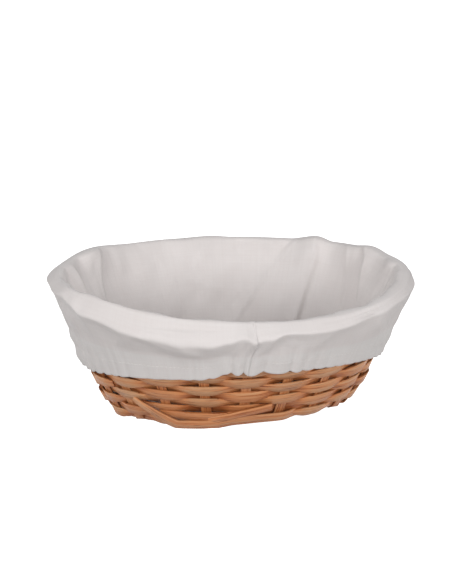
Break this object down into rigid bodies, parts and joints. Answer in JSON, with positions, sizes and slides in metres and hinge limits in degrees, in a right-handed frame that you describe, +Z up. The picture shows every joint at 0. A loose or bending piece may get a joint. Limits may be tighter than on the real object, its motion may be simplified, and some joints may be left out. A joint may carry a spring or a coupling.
{
  "type": "bread basket",
  "caption": "Oval bread basket of woven split-wood strips with a flared wall, a lashed rim and a removable white cloth liner folded over the rim.",
  "frame": {"origin": "middle of the footprint, on the surface that the basket stands on", "axes": "+X along the length, +Y across the width to the back, +Z up out of the mouth"},
  "size_m": [0.283, 0.197, 0.108],
  "materials": {
    "stake_wood": "satin",
    "weaver_wood": "satin",
    "lashing_wood": "satin",
    "liner_cotton": "matte",
    "elastic": "matte"
  },
  "bodies": {
    "basket": {"cross_stake_1": "stake_wood", "cross_stake_2": "stake_wood", "cross_stake_3": "stake_wood", "cross_stake_4": "stake_wood", "cross_stake_5": "stake_wood", "cross_stake_6": "stake_wood", "cross_stake_7": "stake_wood", "long_stake_1": "stake_wood", "long_stake_2": "stake_wood", "long_stake_3": "stake_wood", "weaver_1": "weaver_wood", "weaver_2": "weaver_wood", "weaver_3": "weaver_wood", "weaver_4": "weaver_wood", "weaver_5": "weaver_wood", "weaver_6": "weaver_wood", "weaver_7": "weaver_wood", "weaver_8": "weaver_wood", "weaver_9": "weaver_wood", "weaver_10": "weaver_wood", "weaver_11": "weaver_wood", "weaver_12": "weaver_wood", "weaver_13": "weaver_wood", "rim_outer_band": "weaver_wood", "rim_inner_band": "weaver_wood", "rim_lashing": "lashing_wood"},
    "liner": {"liner_floor": "liner_cotton", "liner_wall": "liner_cotton", "liner_cuff": "liner_cotton", "hem_elastic": "elastic"}
  },
  "joints": [
    {"name": "liner_lift", "type": "slide", "parent": "basket", "child": "liner", "axis": [0, 0, 1], "range_m": [0, 0.12], "deforming": ["liner_cuff", "hem_elastic"]}
  ]
}
